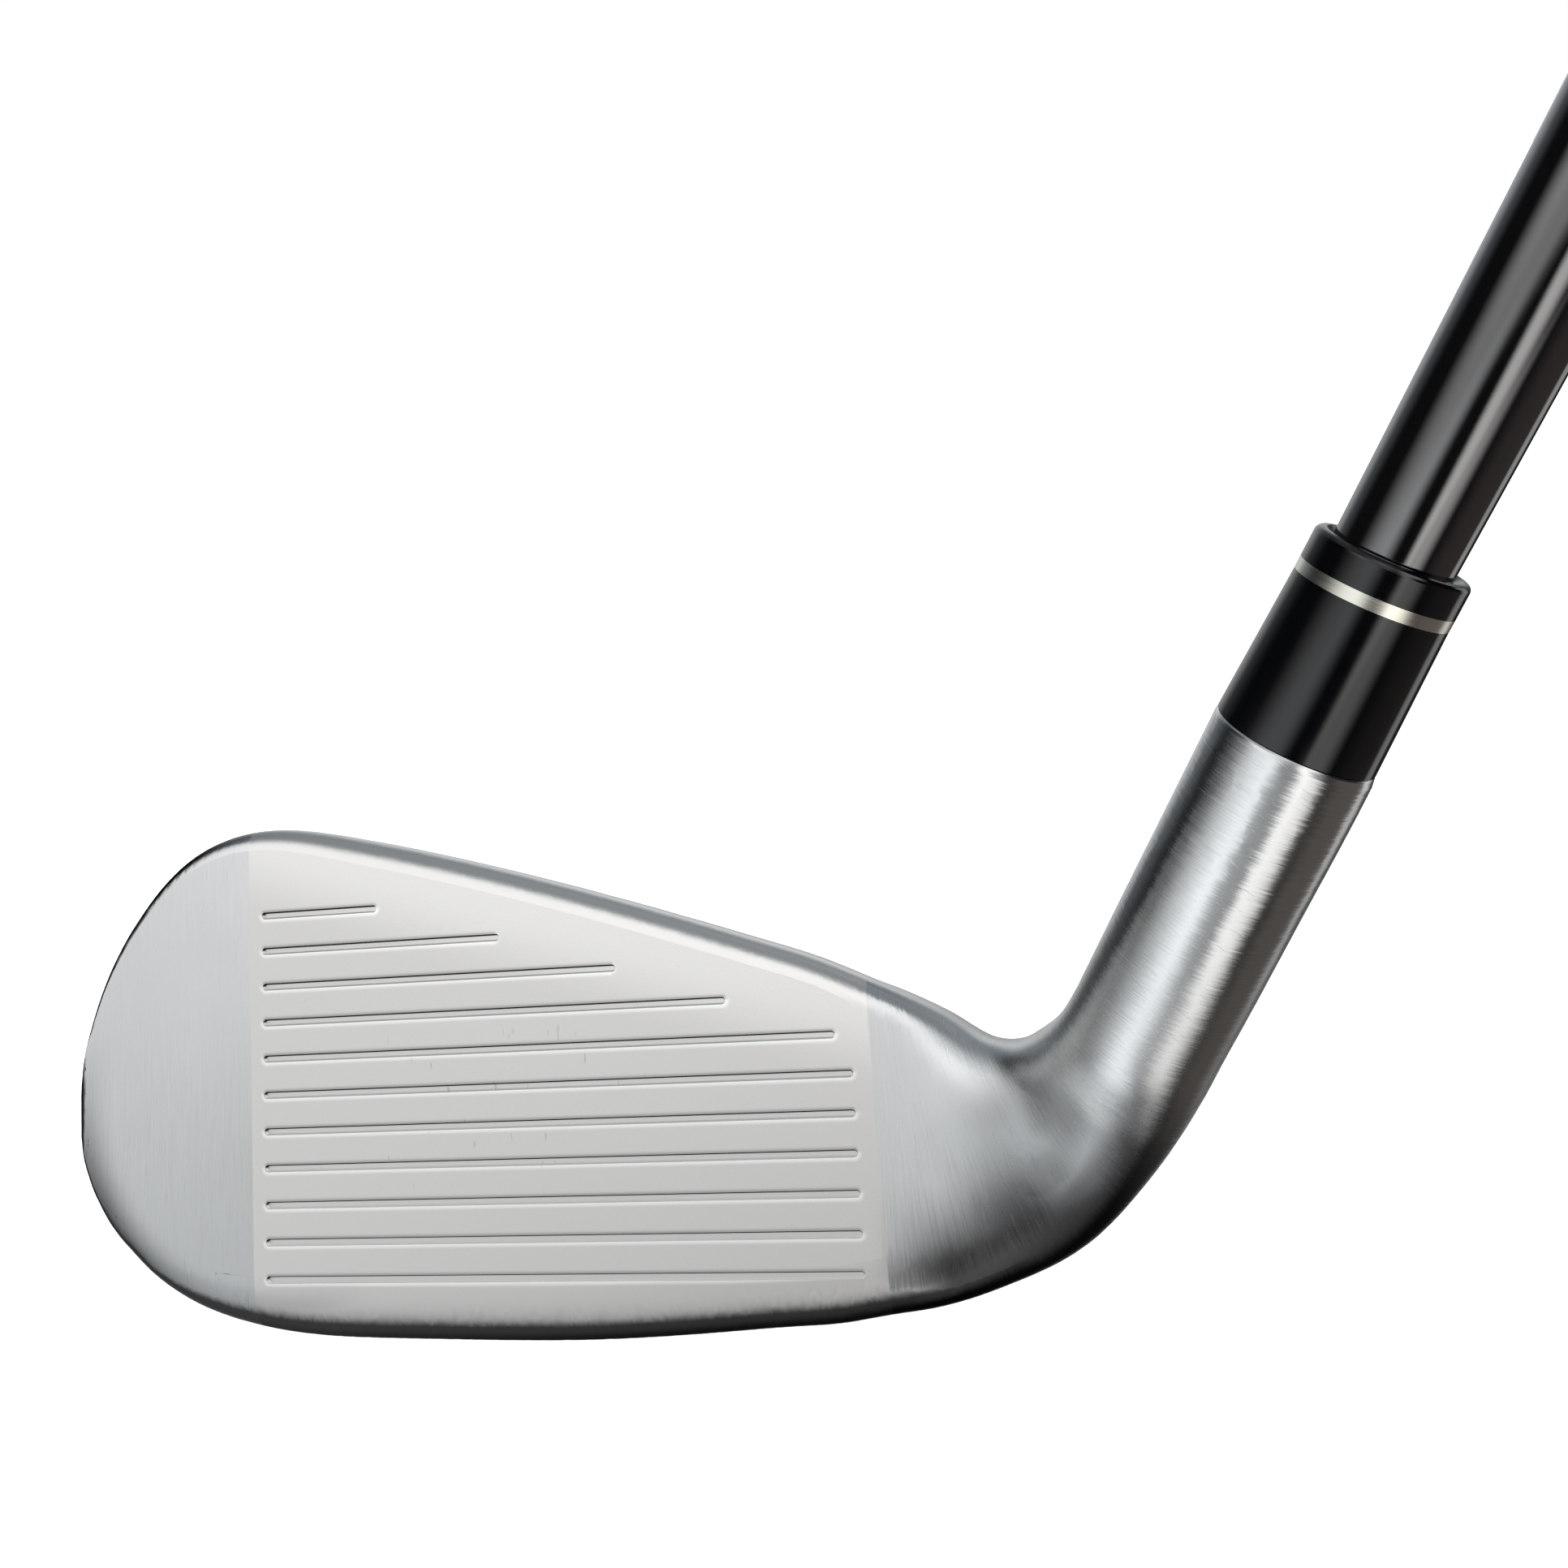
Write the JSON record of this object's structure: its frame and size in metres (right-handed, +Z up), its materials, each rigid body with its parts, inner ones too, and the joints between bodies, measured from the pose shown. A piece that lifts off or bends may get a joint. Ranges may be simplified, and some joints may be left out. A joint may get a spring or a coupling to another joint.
{
  "type": "iron golf club",
  "caption": "Right-handed iron golf club: steel blade head with scored face, ringed ferrule, tapered black shaft and rubber grip.",
  "frame": {"origin": "on the striking face, on the land just below the middle score line, half-way along the full-length lines", "axes": "club at address: +Z up from the sole, +X from the toe towards the heel and the grip, +Y away behind the face"},
  "size_m": [0.5492, 0.0338, 0.8457],
  "materials": {
    "head_steel": "satin brushed stainless steel, bead-blasted between the face lines",
    "ferrule_black": "gloss black turned plastic",
    "ring_metal": "bright turned metal trim",
    "shaft_paint": "gloss black lacquer over wound carbon fibre",
    "grip_rubber": "matt black moulded rubber",
    "cap_rubber": "smooth black rubber",
    "badge_plate": "dark anodised plate",
    "badge_tape": "white foam tape",
    "pad_rubber": "soft black elastomer",
    "epoxy": "set amber epoxy",
    "weight_brass": "turned brass",
    "plug_cork": "pressed cork",
    "grip_tape_paper": "tan paper tape"
  },
  "bodies": {
    "root": {"head_body": "head_steel", "cavity_badge": "badge_plate", "badge_adhesive": "badge_tape", "damping_pad": "pad_rubber", "ferrule_sleeve": "ferrule_black", "ferrule_ring": "ring_metal", "ferrule_collar": "ferrule_black", "ferrule_epoxy": "epoxy", "hosel_epoxy": "epoxy", "shaft": "shaft_paint", "tip_weight": "weight_brass", "tip_plug": "plug_cork", "grip_tape": "grip_tape_paper", "grip_sleeve": "grip_rubber", "grip_end_cap": "cap_rubber"}
  },
  "joints": []
}
